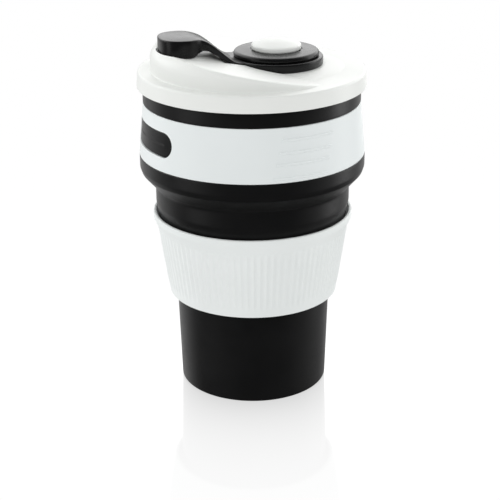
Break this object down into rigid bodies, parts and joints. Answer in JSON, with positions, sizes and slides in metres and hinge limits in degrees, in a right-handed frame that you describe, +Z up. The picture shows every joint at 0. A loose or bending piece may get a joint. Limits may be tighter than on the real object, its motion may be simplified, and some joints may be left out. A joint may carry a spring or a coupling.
{
  "type": "collapsible travel cup",
  "caption": "Collapsible silicone drinking cup with stepped folding tiers, a stiff collar band, a ribbed grip sleeve and a sip lid closed by a strap stopper.",
  "frame": {"origin": "centre of the underside that the cup stands on, on the cup's axis", "axes": "+Z up along the cup's axis, -X towards the drinking side of the lid, Y across the stopper's strap"},
  "size_m": [0.0906, 0.0906, 0.146],
  "materials": {
    "black_silicone": "satin moulded silicone",
    "stopper_silicone": "satin moulded silicone",
    "sleeve_silicone": "matte moulded silicone",
    "band_plastic": "satin",
    "lid_plastic": "satin"
  },
  "bodies": {
    "base": {"cup_base_tier": "black_silicone"},
    "middle": {"cup_lower_fold": "black_silicone", "cup_middle_tier": "black_silicone", "grip_sleeve": "sleeve_silicone"},
    "upper": {"cup_upper_fold": "black_silicone", "cup_upper_tier": "black_silicone", "collar_band": "band_plastic"},
    "lid": {"lid_shell": "lid_plastic", "stopper_ring": "stopper_silicone", "pivot_disc": "stopper_silicone", "pivot_button": "lid_plastic"},
    "stopper": {"stopper_plug": "stopper_silicone"}
  },
  "joints": [
    {"name": "lower_collapse", "type": "slide", "parent": "base", "child": "middle", "axis": [0, 0, -1], "range_m": [0, 0.038], "deforming": ["cup_lower_fold"]},
    {"name": "upper_collapse", "type": "slide", "parent": "middle", "child": "upper", "axis": [0, 0, -1], "range_m": [0, 0.036], "deforming": ["cup_upper_fold"]},
    {"name": "lid_lift", "type": "slide", "parent": "upper", "child": "lid", "axis": [0, 0, 1], "range_m": [0, 0.045]},
    {"name": "stopper_flip", "type": "hinge", "parent": "lid", "child": "stopper", "pos_m": [-0.0102, 0, 0.13715], "axis": [0, 1, 0], "range_deg": [0, 100]}
  ]
}
